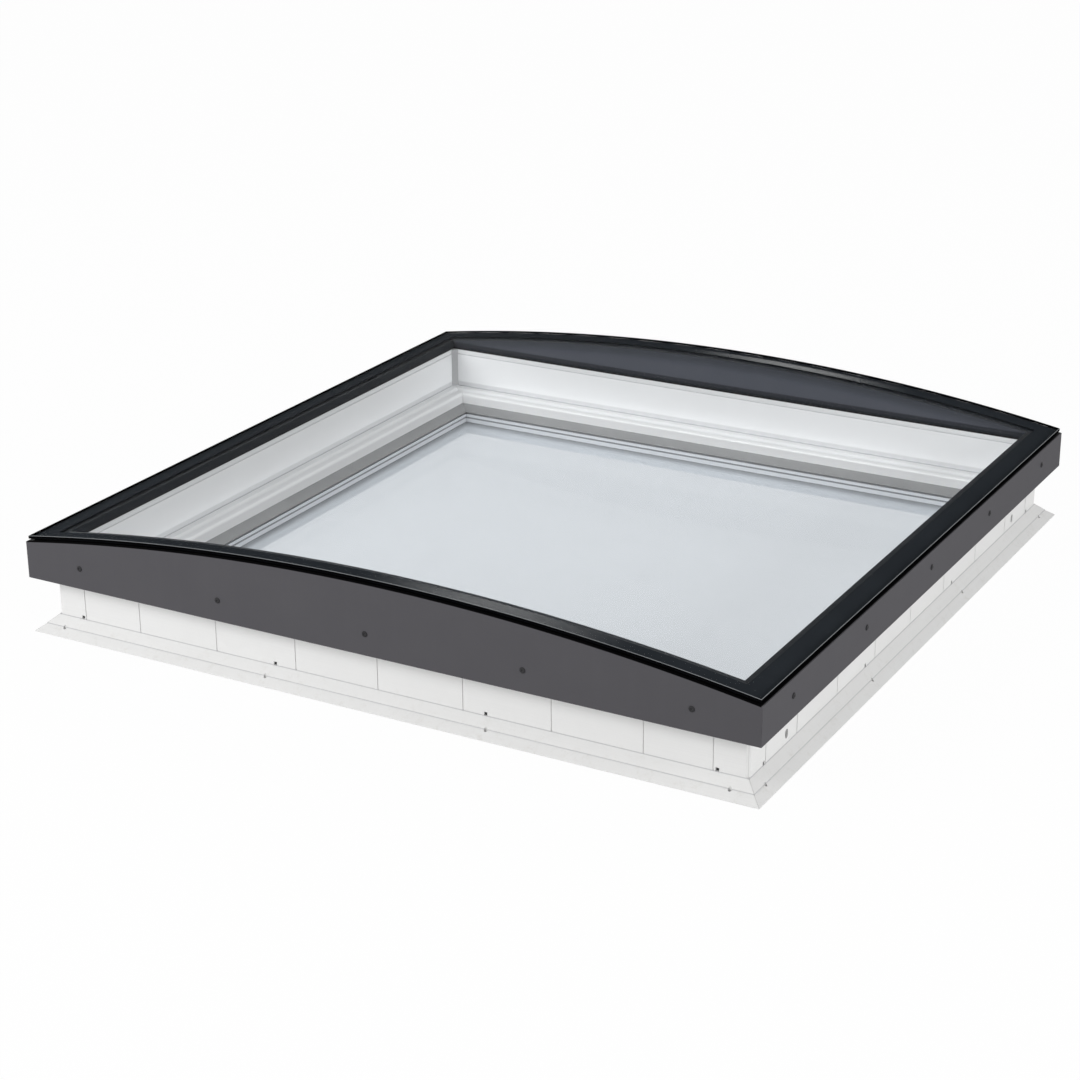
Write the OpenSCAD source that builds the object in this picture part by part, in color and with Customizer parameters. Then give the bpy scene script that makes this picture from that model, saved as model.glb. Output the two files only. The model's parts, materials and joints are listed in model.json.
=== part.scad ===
// Fixed roof skylight: a white multi-chamber base frame with a canted foot, a flat sealed glass unit low in
// the frame, and above it a dark cover frame that carries one pane bent to a shallow arch.
// Millimetres. The origin lies under the middle of the frame on the roof surface, Z points up, the arched
// edges face -Y (front) and +Y (back). Sections are drawn as [inset, height], where the inset counts inward
// from the outer face of the cover.

/* [Overall] */
// Outer width of the cover, across the arch
cover_w = 1140; // [900:10:1400]
// Outer depth of the cover, along the straight edges
cover_d = 1140; // [900:10:1600]

/* [Base frame] */
// Height of the rim above the roof surface
base_h = 131; // [118:1:170]
// Distance from the outer face of the cover in to the base wall
overhang = 27.3; // [24:0.1:34]
// Thickness of the slim upper wall
rim_t = 16.3; // [14:0.1:20]
// Thickness of the lower body of the profile
body_t = 46.7; // [42:0.1:60]
// Reach of the glazing lip beyond the lower body
lip_reach = 31; // [28:0.5:38]
// Thickness of the glazing lip
lip_t = 11; // [8:0.5:16]
// Wall thickness of the extruded profile
skin_t = 2.8; // [2:0.1:3.4]
// Width of the drain chamber behind the outer wall
drain_w = 5; // [4:0.1:7]
// Chamfer on the upright outer corners
corner_cut = 4; // [1:0.1:5]

/* [Foot] */
// Height at which the foot meets the base wall
foot_h = 23.3; // [20:0.1:28]
// Reach of the whole foot beyond the base wall
foot_reach = 26.3; // [22:0.1:32]
// Reach of the upper strip of the foot
strip_reach = 13.6; // [11:0.1:16]
// Height of the line between the two strips
strip_z = 10.5; // [8:0.1:13]
// Small step at that line
strip_step = 0.9; // [0.4:0.1:1.5]
// Thickness of the outermost edge
toe_t = 1; // [0.6:0.1:2]
// Diameter of the fixing holes
fix_d = 5; // [4:0.5:6]
// Fixing holes on each side
fix_n = 4; // [2:1:6]
// Distance from the end of a side to its first fixing hole
fix_end = 46.5; // [40:0.5:80]
// Solid material between a fixing hole and the chamber of the foot
fix_wall = 2.3; // [1.5:0.1:3]

/* [Outer wall] */
// Pitch of the upright lines in the wall
line_pitch = 132.3; // [90:0.1:200]
// Width of a line
line_w = 1.6; // [0.8:0.1:3]
// Depth of a line
line_depth = 0.8; // [0.3:0.1:1.2]
// Distance from the wall corner to the last line
line_end = 48.7; // [30:0.1:60]
// Length of a line that the apron hides
line_hide = 28; // [12:1:32]
// Distance from the rim down to the fine line on the inner face
rim_line_drop = 8; // [5:0.5:12]
// Weep holes on each side
weep_n = 4; // [2:1:6]
// Distance from the wall corner to the first weep hole
weep_end = 43.2; // [32:0.1:60]
// Width and height of a weep hole
weep_size = 5; // [3:0.5:6]
// Width of an upright slot in the left and right walls
slot_w = 8; // [6:0.5:10]
// Height of an upright slot
slot_h = 13; // [11:0.5:16]
// Distance from the wall corner to the slot
slot_end = 112.7; // [70:0.1:180]
// Height of the middle of the slot
slot_z = 36.5; // [34:0.5:42]

/* [Glazing unit] */
// Thickness of the flat outer pane
pane_t = 4; // [3:0.5:6]
// Space between the flat panes
cavity_t = 14; // [10:0.5:20]
// Thickness of the laminated inner pane
lami_t = 6; // [5:0.5:9]
// Space around the edge of the unit
unit_play = 4; // [3:0.5:6]
// Width of the spacer bar
spacer_w = 8; // [6:0.5:10]
// Distance from the unit's edge to the inner face of the spacer
spacer_in = 22; // [18:0.5:24]
// Length of a setting block
block_l = 80; // [50:5:120]
// Distance from the unit's corner to a setting block
block_end = 90; // [60:5:140]

/* [Seals and beads] */
// Thickness of the seal under the unit
low_seal_t = 3; // [2:0.5:5]
// Thickness of the seal between unit and bead
top_seal_t = 6; // [4:0.5:8]
// Reach of the top seal's slanted lip on the glass, beyond the bead
seal_lip = 15; // [10:0.5:16]
// Height of the seal's slanted face where it leaves the bead
seal_rise = 11; // [8.5:0.5:13]
// Overhang of the bead beyond the lower body
bead_reach = 11.5; // [9:0.5:14]
// Height of the bead
bead_h = 23; // [20:0.5:30]
// Radius of the bead's rounded nose
nose_r = 5; // [4:0.5:7]
// Depth of the gutter in the top of the bead
cove_depth = 2.5; // [1:0.1:3]
// Width of the inner corner strips
strip_w = 8; // [5:0.5:9]

/* [Top glass] */
// Thickness of the arched pane
glass_t = 4; // [3:0.5:6]
// Rise of the arch over the width of the pane
rise = 47; // [30:1:80]
// Distance from the outer face of the cover in to the edge of the pane
glass_setback = 2.7; // [1:0.1:5]
// Width of the black border along the straight edges
border_side = 32.1; // [26:0.1:38]
// Width of the black border along the arched edges
border_end = 29.2; // [26:0.1:38]
// Thickness of the black border
border_t = 0.3; // [0.2:0.1:0.6]

/* [Cover frame] */
// Thickness of the seal between base and cover
cover_seal_t = 3.5; // [2:0.5:5]
// Thickness of the rail's arm at the pane's edge
arm_t = 5.5; // [4:0.5:8]
// Thickness of the arm under the arch formers
end_arm_t = 3; // [2:0.1:3.8]
// Height of the rail's outer leg
leg_h = 42.8; // [38:0.1:46]
// Thickness of the rail's outer leg
leg_t = 12; // [10:0.5:14]
// Wall thickness of rails and arch formers
rail_skin = 2; // [1.5:0.1:3]
// Thickness of the bond under the pane
bond_t = 2.25; // [1.8:0.05:4]
// Width of the bond
bond_w = 20; // [14:0.5:24]
// Distance from the outer face of the cover in to the bond
bond_inset = 8; // [6:0.5:10]
// Thickness of the apron sheet
apron_t = 2; // [1.2:0.1:2.5]
// Height of the apron at its corners
apron_h = 55.4; // [51:0.1:62]
// Drop of the apron's top edge below the bed of the bond
apron_drop = 0.6; // [0.2:0.1:2]
// Width of the hem turned in at the foot of the apron
hem_w = 10; // [6:0.5:14]
// Pitch of the webs in the arch formers
web_pitch = 90; // [60:5:150]

/* [Fasteners] */
// Screws on each side of the apron
apron_screw_n = 5; // [3:2:7]
// Distance from the end of a side to its first apron screw
apron_screw_end = 94; // [84:1:140]
// Distance from the bed of the bond down to the apron screws
apron_screw_drop = 25; // [18:1:35]
// Shank diameter of the screws
shank_d = 4; // [3:0.1:5]
// Head diameter of the screws
head_d = 8.4; // [6.5:0.1:10]
// Distance from the end of a side to a hold-down clip
clip_end = 213; // [150:1:260]
// Length of a clip
clip_l = 30; // [20:1:50]
// Sheet thickness of a clip
clip_t = 2; // [1.5:0.1:3]
// Leg length of the corner keys
key_l = 60; // [40:1:66]

/* [Hidden] */

// Sides in the order they follow round the frame
FRONT = 0;
RIGHT = 1;
BACK = 2;
LEFT = 3;

// Clearance between parts that slip into each other
fit = 0.2;
// Clearance round the shank of a screw
hole_play = 0.4;
// Clearance between the curved layers: pane, border, bond and bed
layer_play = 0.15;
// Overrun of cutting bodies
over = 1;
// Facets of the arch's large circles and of small round forms
arch_fn = 1440;
round_fn = 64;

// Insets of the base profile
rim_in = overhang + rim_t;
body_in = overhang + body_t;
lip_in = body_in + lip_reach;
bead_in = body_in + bead_reach;
unit_in = body_in + unit_play;
spacer_face = unit_in + spacer_in;
toe_in = overhang - foot_reach;
step_in = overhang - strip_reach;
drain_in = overhang + skin_t + drain_w;
mitre_reach = lip_in + over;

// Heights of the flat glazing, from the lip up
unit_z = lip_t + low_seal_t;
cavity_z = unit_z + lami_t;
pane_z = cavity_z + cavity_t;
unit_top = pane_z + pane_t;
body_h = unit_top + top_seal_t;
shelf_z = body_h + bead_h - nose_r / 2;

// Heights of the cover, from the rim up
rail_z = base_h + cover_seal_t;
bed_z = rail_z + arm_t;
former_z = rail_z + end_arm_t;
leg_z = rail_z - leg_h;
border_drop = glass_t + layer_play;
bond_drop = border_drop + border_t + layer_play;
stack_t = bond_drop + bond_t + layer_play;
glass_z = bed_z + stack_t;
crown_z = glass_z + rise;
apron_z = bed_z - apron_drop - apron_h;
line_top = apron_z + line_hide;

// The arch: one circle through the long edges of the pane and its crown
glass_half = cover_w / 2 - glass_setback;
arch_r = (glass_half * glass_half + rise * rise) / (2 * rise);
apron_cut = stack_t + apron_drop;

// Lowest headroom of a bay in the arch formers
bay_room = 6;

// Channel that holds the foot of a bead, and the material round it
clip_groove_set = 8;
clip_groove_w = 4;
clip_groove_d = 6;
clip_web = 3;
clip_groove_in = rim_in + clip_groove_set;

// Radius of the gutter in the top of a bead
gutter_r = 12;

// Setback of the cover seal from the inner face of the rim
seal_back = 1;

// Fasteners: head, shanks, and how far a clip's plate runs on either side of its screw
head_t = 1.4;
apron_screw_l = 9;
apron_screw_z = bed_z - apron_screw_drop;
clip_screw_l = 8;
clip_screw_up = 20;
clip_plate_up = 10;
clip_screw_z = leg_z + clip_screw_up;
clip_top_z = clip_screw_z + clip_plate_up;

function side_length(k) = k % 2 == 0 ? cover_w : cover_d;
function side_reach(k) = (k % 2 == 0 ? cover_d : cover_w) / 2;
// Height of the arch at x, for the surface that lies the given drop below the top face of the pane
function arch_z(x, drop) = crown_z - arch_r + sqrt(pow(arch_r - drop, 2) - x * x);
// Middle of each of the two hold-down clips on side k
function clip_places(k) = [for (s = [-1, 1]) s * (side_length(k) / 2 - clip_end)];
// Places spread evenly between two ends that lie the given distance from the ends of a length
function spread(length, end, n) =
    [for (i = [0 : n - 1]) end - length / 2 + i * (length - 2 * end) / (n - 1)];

// Turns a piece drawn for the front to side k
module on_side(k) {
    rotate([0, 0, 90 * k])
        children();
}

// Plan of side k with its ends cut at 45 degrees
module mitre_plan(k) {
    half = side_length(k) / 2;
    reach = side_reach(k);
    polygon([
        [-half, -reach],
        [half, -reach],
        [half - mitre_reach, mitre_reach - reach],
        [mitre_reach - half, mitre_reach - reach]
    ]);
}

// Runs a section along side k, drawn for the front
module run(k) {
    translate([-side_length(k) / 2, -side_reach(k), 0])
        rotate([90, 0, 90])
            linear_extrude(side_length(k))
                children();
}

// Runs a section along side k and mitres both ends
module bar(k) {
    on_side(k)
        intersection() {
            run(k)
                children();
            translate([0, 0, -over])
                linear_extrude(crown_z + 2 * over)
                    mitre_plan(k);
        }
}

// Closed frame of rectangular section between two insets and two heights
module square_ring(in_a, in_b, z_a, z_b) {
    translate([0, 0, z_a])
        linear_extrude(z_b - z_a)
            difference() {
                square([cover_w - 2 * in_a, cover_d - 2 * in_a], center = true);
                square([cover_w - 2 * in_b, cover_d - 2 * in_b], center = true);
            }
}

// Slab between two insets
module slab(in_edge, z_a, z_b) {
    translate([0, 0, z_a])
        linear_extrude(z_b - z_a)
            square([cover_w - 2 * in_edge, cover_d - 2 * in_edge], center = true);
}

// Outline of everything that lies the given drop or more below the top face of the arched pane
module arch_shape(drop) {
    intersection() {
        translate([0, crown_z - arch_r])
            circle(r = arch_r - drop, $fn = arch_fn);
        translate([-cover_w / 2, 0])
            square([cover_w, crown_z + over]);
    }
}

// The same, run over the whole depth
module arch_body(drop) {
    translate([0, cover_d / 2, 0])
        rotate([90, 0, 0])
            linear_extrude(cover_d)
                arch_shape(drop);
}

// Curved sheet between two drops
module arch_sheet(drop_a, drop_b) {
    translate([0, cover_d / 2, 0])
        rotate([90, 0, 0])
            linear_extrude(cover_d)
                difference() {
                    arch_shape(drop_a);
                    arch_shape(drop_b);
                }
}

// Round bar that points inward from a place on side k
module inward_rod(x, z, in_a, in_b, d, k) {
    translate([x, in_a - side_reach(k), z])
        rotate([-90, 0, 0])
            cylinder(d = d, h = in_b - in_a, $fn = round_fn);
}

// Outer form of the base profile: foot, wall, lower body and glazing lip
module base_outline() {
    polygon([
        [toe_in, 0],
        [toe_in, toe_t],
        [step_in, strip_z],
        [step_in, strip_z + strip_step],
        [overhang, foot_h],
        [overhang, base_h],
        [rim_in, base_h],
        [rim_in, body_h],
        [body_in, body_h],
        [body_in, lip_t],
        [lip_in, lip_t],
        [lip_in, 0]
    ]);
}

// Chamber in the foot, under the upper strip
module foot_chamber() {
    slope = (foot_h - strip_z - strip_step) / strip_reach;
    upright_skin = skin_t * sqrt(1 + slope * slope);
    near = step_in + fix_d / 2 + fix_wall;
    polygon([
        [near, skin_t],
        [near, strip_z + strip_step + slope * (near - step_in) - upright_skin],
        [overhang, foot_h - upright_skin],
        [overhang, skin_t]
    ]);
}

// Chamber that takes the foam core
module core_chamber(gap) {
    difference() {
        translate([drain_in + skin_t + gap, skin_t + gap])
            square([body_t - drain_w - 3 * skin_t - 2 * gap, body_h - 2 * skin_t - 2 * gap]);
        translate([clip_groove_in - clip_web - gap, body_h - clip_groove_d - clip_web - gap])
            square([clip_groove_w + 2 * clip_web + 2 * gap, clip_groove_d + clip_web + over]);
    }
}

module base_chambers() {
    foot_chamber();
    translate([overhang + skin_t, skin_t])
        square([drain_w, body_h - 2 * skin_t]);
    core_chamber(0);
    translate([overhang + skin_t, body_h])
        square([rim_t - 2 * skin_t, base_h - skin_t - body_h]);
    translate([body_in + skin_t, skin_t])
        square([lip_reach - 2 * skin_t, lip_t - 2 * skin_t]);
}

// Section of the base frame, with the channel for the bead and the fine line below the rim
module base_section() {
    difference() {
        base_outline();
        base_chambers();
        translate([clip_groove_in, body_h - clip_groove_d])
            square([clip_groove_w, clip_groove_d + over]);
        translate([rim_in - line_depth, base_h - rim_line_drop])
            square([line_depth + over, line_w]);
    }
}

module upright_lines(k) {
    half = side_length(k) / 2 - overhang;
    last = half - line_end;
    count = floor((last - line_pitch / 2) / line_pitch);
    places = concat([-last, last], [for (i = [-count : count]) i * line_pitch]);
    for (x = places)
        translate([x - line_w / 2, overhang - side_reach(k) - over, foot_h])
            cube([line_w, line_depth + over, line_top - foot_h]);
}

module weep_holes(k) {
    wall = side_length(k) - 2 * overhang;
    for (x = spread(wall, weep_end, weep_n))
        translate([x - weep_size / 2, overhang - side_reach(k) - over, foot_h])
            cube([weep_size, skin_t + 2 * over, weep_size]);
}

module upright_slots(k) {
    half = side_length(k) / 2 - overhang;
    for (s = [-1, 1])
        upright_slot(s * (half - slot_end), k);
}

// Slot with round ends through the outer wall
module upright_slot(x, k) {
    straight = slot_h - slot_w;
    translate([x, overhang - side_reach(k) - over, slot_z])
        rotate([-90, 0, 0])
            linear_extrude(skin_t + 2 * over) {
                square([slot_w, straight], center = true);
                for (s = [-1, 1])
                    translate([0, s * straight / 2])
                        circle(d = slot_w, $fn = round_fn);
            }
}

module fixing_holes(k) {
    for (x = spread(side_length(k), fix_end, fix_n))
        translate([x, step_in - side_reach(k), -over])
            cylinder(d = fix_d, h = foot_h, $fn = round_fn);
}

module outer_corner_cuts(k) {
    half = side_length(k) / 2 - overhang;
    for (s = [-1, 1])
        translate([s * half, overhang - side_reach(k), (foot_h + base_h) / 2 + over])
            rotate([0, 0, 45])
                cube([corner_cut * sqrt(2), corner_cut * sqrt(2), base_h - foot_h + 2 * over], center = true);
}

module base_bar(k) {
    color("#f3f3f1")
        difference() {
            bar(k)
                base_section();
            on_side(k) {
                upright_lines(k);
                weep_holes(k);
                fixing_holes(k);
                outer_corner_cuts(k);
                if (k == RIGHT || k == LEFT)
                    upright_slots(k);
                for (x = clip_places(k))
                    inward_rod(x, clip_screw_z, overhang - over, rim_in - skin_t, shank_d + hole_play, k);
            }
        }
}

// Foam block in the main chamber of each side
module core(k) {
    color("#d9dcd2")
        bar(k)
            core_chamber(fit);
}

// Closed seal under the glass unit
module lower_gasket() {
    color("#3a3c3e")
        square_ring(body_in + fit, lip_in, lip_t, unit_z);
}

// Two blocks on each side centre the unit in its rebate
module setting_blocks() {
    color("#2f5d8a")
        for (k = [FRONT : LEFT])
            for (s = [-1, 1])
                on_side(k)
                    translate([
                        s * (side_length(k) / 2 - unit_in - block_end) - block_l / 2,
                        body_in - side_reach(k) + fit / 2,
                        unit_z
                    ])
                        cube([block_l, unit_play - fit, unit_top - unit_z]);
}

module unit_inner_pane() {
    color("#cfe0e4", 0.5)
        slab(unit_in, unit_z, cavity_z);
}

module unit_spacer() {
    color("#b8bcc0")
        square_ring(spacer_face - spacer_w, spacer_face, cavity_z, pane_z);
}

module unit_edge_seal() {
    color("#1d1e20")
        square_ring(unit_in, spacer_face - spacer_w, cavity_z, pane_z);
}

module unit_outer_pane() {
    color("#cfe0e4", 0.5)
        slab(unit_in, pane_z, unit_top);
}

// Seal between the unit and the beads, with its slanted lip on the glass
module upper_gasket() {
    shoulder = 1.2;
    tip = 0.8;
    color("#7d8082")
        for (k = [FRONT : LEFT])
            bar(k)
                polygon([
                    [unit_in, unit_top],
                    [unit_in, body_h],
                    [bead_in, body_h],
                    [bead_in, unit_top + seal_rise],
                    [bead_in + shoulder, unit_top + seal_rise - shoulder / 3],
                    [bead_in + seal_lip, unit_top + tip],
                    [bead_in + seal_lip, unit_top]
                ]);
}

// Section of a bead: clip foot, hollow body, flat shelf, gutter and rounded nose
module bead_section() {
    back = rim_in + fit;
    gutter_mid = (back + strip_w + bead_in - 2 * nose_r) / 2;
    difference() {
        union() {
            translate([back, body_h])
                square([bead_in - nose_r - back, shelf_z - body_h]);
            translate([back, body_h])
                square([bead_in - back, bead_h - nose_r]);
            translate([bead_in - nose_r, body_h + bead_h - nose_r])
                circle(r = nose_r, $fn = round_fn);
            translate([clip_groove_in + fit, body_h - clip_groove_d + fit])
                square([clip_groove_w - 2 * fit, clip_groove_d]);
        }
        translate([gutter_mid, shelf_z - cove_depth + gutter_r])
            circle(r = gutter_r, $fn = round_fn);
        translate([back + rail_skin, body_h + rail_skin])
            square([bead_in - back - 2 * rail_skin, shelf_z - cove_depth - body_h - 2 * rail_skin]);
    }
}

module bead(k) {
    color("#f3f3f1")
        bar(k)
            bead_section();
}

// Slim strip across the inner corner of the rim, at the end of side k
module corner_strip(k) {
    corner = [side_length(k) / 2 - rim_in - fit, rim_in + fit - side_reach(k)];
    color("#c4c7ca")
        on_side(k)
            translate([corner[0], corner[1], shelf_z])
                linear_extrude(base_h - shelf_z)
                    polygon([[0, 0], [-strip_w, 0], [0, strip_w]]);
}

module cover_seal() {
    color("#17181a")
        square_ring(overhang + skin_t, rim_in - seal_back, base_h, rail_z);
}

// Hold-down clips: a plate on the base wall and a hook under the rail's leg
module cover_clips() {
    color("#a9adb0")
        for (k = [FRONT : LEFT])
            on_side(k)
                for (x = clip_places(k))
                    difference() {
                        translate([x - clip_l / 2, -side_reach(k), 0])
                            rotate([90, 0, 90])
                                linear_extrude(clip_l) {
                                    translate([overhang - clip_t, leg_z - clip_t])
                                        square([clip_t, clip_top_z - leg_z + clip_t]);
                                    translate([apron_t + leg_t / 2, leg_z - clip_t])
                                        square([overhang - apron_t - leg_t / 2, clip_t]);
                                }
                        inward_rod(x, clip_screw_z, overhang - clip_t - over, overhang + over,
                                   shank_d + hole_play, k);
                    }
}

// Screw with a flat head, along the inward direction of side k; the shank starts under the head
module screw(x, z, seat_in, shank_l, k) {
    inward_rod(x, z, seat_in - head_t, seat_in, head_d, k);
    inward_rod(x, z, seat_in, seat_in + shank_l, shank_d, k);
}

module clip_screws() {
    color("#c9ccce")
        for (k = [FRONT : LEFT])
            on_side(k)
                for (x = clip_places(k))
                    screw(x, clip_screw_z, overhang - clip_t, clip_screw_l, k);
}

module apron_screws() {
    color("#2b2c2e")
        for (k = [FRONT : LEFT])
            on_side(k)
                for (x = spread(side_length(k), apron_screw_end, apron_screw_n))
                    screw(x, apron_screw_z, 0, apron_screw_l, k);
}

// Section of a rail: arm over the rim of the base, with its top at the two heights given, and a hollow leg
module rail_section(outer_z, inner_z) {
    difference() {
        polygon([
            [apron_t, leg_z],
            [apron_t, outer_z],
            [rim_in, inner_z],
            [rim_in, rail_z],
            [apron_t + leg_t, rail_z],
            [apron_t + leg_t, leg_z]
        ]);
        translate([apron_t + rail_skin, leg_z + rail_skin])
            square([leg_t - 2 * rail_skin, leg_h - 2 * rail_skin]);
    }
}

// Rail on side k; under the straight edges of the pane its top slopes with the arch
module rail(k) {
    straight = k == RIGHT || k == LEFT;
    half = cover_w / 2;
    color("#3b3d41")
        difference() {
            bar(k)
                if (straight)
                    rail_section(arch_z(half - apron_t, stack_t), arch_z(half - rim_in, stack_t));
                else
                    rail_section(former_z, former_z);
            on_side(k)
                for (x = spread(side_length(k), apron_screw_end, apron_screw_n))
                    inward_rod(x, apron_screw_z, 0, apron_t + rail_skin + over, shank_d + hole_play, k);
        }
}

// Angle keys inside the hollow legs join the rails at their corners
module corner_keys() {
    outer = apron_t + rail_skin + fit;
    thick = leg_t - 2 * rail_skin - 2 * fit;
    height = leg_h - 2 * rail_skin - 2 * fit;
    color("#9a9da0")
        for (k = [FRONT : LEFT])
            on_side(k)
                translate([side_length(k) / 2 - outer, outer - side_reach(k), leg_z + rail_skin + fit])
                    linear_extrude(height)
                        difference() {
                            translate([-key_l, 0])
                                square([key_l, key_l]);
                            translate([-key_l - over, thick])
                                square([key_l + over - thick, key_l]);
                        }
}

// Arched hollow moulding that stands on the front and back rails and carries the arched edge of the pane
module arch_former(k) {
    bay_drop = stack_t + 2 * rail_skin;
    bay_reach = sqrt(2 * arch_r * (crown_z - bay_drop - former_z - bay_room));
    bays = floor(bay_reach / web_pitch);
    bay_in = apron_t + rail_skin;
    bay_w = rim_in - rail_skin - bay_in;
    color("#3b3d41")
        difference() {
            intersection() {
                bar(k)
                    translate([apron_t, former_z])
                        square([rim_in - apron_t, crown_z - former_z]);
                arch_body(stack_t);
            }
            intersection() {
                on_side(k)
                    for (i = [-bays : bays - 1])
                        translate([i * web_pitch + rail_skin / 2, bay_in - side_reach(k), former_z - over])
                            cube([web_pitch - rail_skin, bay_w, crown_z - former_z]);
                arch_body(bay_drop);
            }
        }
}

// Apron sheet of side k with its hem; its top edge follows the arch a little below the bed of the bond
module apron(k) {
    color("#57575b")
        difference() {
            intersection() {
                bar(k)
                    union() {
                        translate([0, apron_z])
                            square([apron_t, crown_z - apron_z]);
                        translate([0, apron_z])
                            square([hem_w, apron_t]);
                    }
                arch_body(apron_cut);
            }
            on_side(k)
                for (x = spread(side_length(k), apron_screw_end, apron_screw_n))
                    inward_rod(x, apron_screw_z, -over, apron_t + over, shank_d + hole_play, k);
        }
}

// Bond that carries the pane all round
module cover_bond() {
    color("#0c0d0e")
        intersection() {
            arch_sheet(bond_drop, bond_drop + bond_t);
            square_ring(bond_inset, bond_inset + bond_w, base_h, crown_z);
        }
}

// Black border fired on the underside of the pane
module black_border() {
    color("#23282a")
        intersection() {
            arch_sheet(border_drop, border_drop + border_t);
            difference() {
                slab(glass_setback, base_h, crown_z);
                translate([0, 0, (base_h + crown_z) / 2])
                    cube([
                        cover_w - 2 * (glass_setback + border_side),
                        cover_d - 2 * (glass_setback + border_end),
                        crown_z - base_h + 2 * over
                    ], center = true);
            }
        }
}

// The arched pane
module glass_cover() {
    color("#cfe0e4", 0.4)
        intersection() {
            arch_sheet(0, glass_t);
            slab(glass_setback, base_h, crown_z + over);
        }
}

base_bar(FRONT);  // base_front
base_bar(RIGHT);  // base_right
base_bar(BACK);  // base_back
base_bar(LEFT);  // base_left
core(FRONT);  // core_front
core(RIGHT);  // core_right
core(BACK);  // core_back
core(LEFT);  // core_left
lower_gasket();
setting_blocks();
unit_inner_pane();
unit_spacer();
unit_edge_seal();
unit_outer_pane();
upper_gasket();
bead(FRONT);  // bead_front
bead(RIGHT);  // bead_right
bead(BACK);  // bead_back
bead(LEFT);  // bead_left
corner_strip(FRONT);  // corner_strip_fr
corner_strip(RIGHT);  // corner_strip_br
corner_strip(BACK);  // corner_strip_bl
corner_strip(LEFT);  // corner_strip_fl
cover_seal();
cover_clips();
clip_screws();
rail(FRONT);  // rail_front
rail(RIGHT);  // rail_right
rail(BACK);  // rail_back
rail(LEFT);  // rail_left
corner_keys();
arch_former(FRONT);  // arch_former_front
arch_former(BACK);  // arch_former_back
apron(FRONT);  // apron_front
apron(RIGHT);  // apron_right
apron(BACK);  // apron_back
apron(LEFT);  // apron_left
apron_screws();
cover_bond();
black_border();
glass_cover();
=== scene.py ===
# %% [markdown]
# # A fixed roof skylight in the studio
# The real object is a white plastic base frame with a flat sealed glass unit low inside it, and a dark cover
# frame above that carries one gently arched pane. A CAD model already holds every part at its true size. We
# could model it all again here, but the CAD shapes are exact, so this script loads them, gives each part its
# finish, and builds anew only what the CAD keeps plain: ground glass edges and the drive of the screws.

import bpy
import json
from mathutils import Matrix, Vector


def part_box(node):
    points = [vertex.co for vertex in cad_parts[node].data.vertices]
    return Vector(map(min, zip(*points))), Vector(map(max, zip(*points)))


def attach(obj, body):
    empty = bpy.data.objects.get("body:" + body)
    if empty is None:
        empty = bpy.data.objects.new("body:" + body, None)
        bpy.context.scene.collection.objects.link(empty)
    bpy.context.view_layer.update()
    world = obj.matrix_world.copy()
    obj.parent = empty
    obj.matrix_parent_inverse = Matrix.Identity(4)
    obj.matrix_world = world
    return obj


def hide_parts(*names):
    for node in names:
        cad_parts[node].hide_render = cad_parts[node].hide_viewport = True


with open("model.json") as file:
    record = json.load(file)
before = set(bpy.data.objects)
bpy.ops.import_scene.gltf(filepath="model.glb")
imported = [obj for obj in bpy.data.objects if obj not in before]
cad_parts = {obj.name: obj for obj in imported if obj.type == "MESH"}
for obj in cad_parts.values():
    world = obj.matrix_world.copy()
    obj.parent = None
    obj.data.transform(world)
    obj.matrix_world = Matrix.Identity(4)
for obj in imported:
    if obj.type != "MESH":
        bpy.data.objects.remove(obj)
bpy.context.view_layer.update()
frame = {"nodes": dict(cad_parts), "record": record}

# %% Blender's modules and the record
import json
import math

import bmesh
import bpy
from mathutils import Matrix, Vector

MM = 0.001
record = frame["record"]
slot_of = {part["node"]: part["material_slot"] for part in record["subparts"]}
print("nodes:", len(frame["nodes"]), "slots:", len(set(slot_of.values())))

# %% [markdown]
# ## The camera
# A product shot like this one is taken from above the front right corner with a short telephoto lens, which
# keeps the long edges nearly parallel. The camera could be aimed by eye, but four corners and the plain
# square plan of the frame pin down its place, so the numbers below come from solving for them.

# %% Camera
# metres, degrees, and millimetres for the lens and the sensor
CAMERA_PLACE = (1.6314, -2.9907, 1.3984)
CAMERA_AZIMUTH = 29.4423
CAMERA_ELEVATION = 21.6076
CAMERA_ROLL = -0.4409
LENS = 80.80
SENSOR_WIDTH = 36.0
FAR_ENOUGH = 100.0

camera_data = bpy.data.cameras.new("studio camera")
camera_data.lens = LENS
camera_data.sensor_width = SENSOR_WIDTH
camera_data.clip_end = FAR_ENOUGH
camera = bpy.data.objects.new("studio camera", camera_data)
turn = Matrix.Rotation(math.radians(CAMERA_AZIMUTH), 4, "Z")
tilt = Matrix.Rotation(math.radians(90.0 - CAMERA_ELEVATION), 4, "X")
roll = Matrix.Rotation(math.radians(CAMERA_ROLL), 4, "Z")
camera.matrix_world = Matrix.Translation(CAMERA_PLACE) @ turn @ tilt @ roll
bpy.context.scene.collection.objects.link(camera)
bpy.context.scene.camera = camera
bpy.context.scene.view_settings.view_transform = "Standard"
print("camera at", tuple(round(v, 3) for v in camera.location))

# %% [markdown]
# ## Short words for shader nodes
# Every finish below is a small tree of shader nodes. Written out in full, a tree takes four lines a node,
# which hides the idea behind it. These helpers make a node, fill or link its inputs and hand back what the
# next one needs.

# %% Node helpers
def node(tree, kind, inputs=None, **settings):
    """A new shader node; an input is given a plain value or the output socket of another node."""
    made = tree.nodes.new("ShaderNode" + kind)
    for name, value in settings.items():
        setattr(made, name, value)
    for name, value in (inputs or {}).items():
        if isinstance(value, bpy.types.NodeSocket):
            tree.links.new(value, made.inputs[name])
        else:
            made.inputs[name].default_value = value
    return made


def maths(tree, operation, *values):
    """The result of one Math node."""
    inputs = dict(enumerate(values))
    return node(tree, "Math", inputs, operation=operation).outputs[0]


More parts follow.
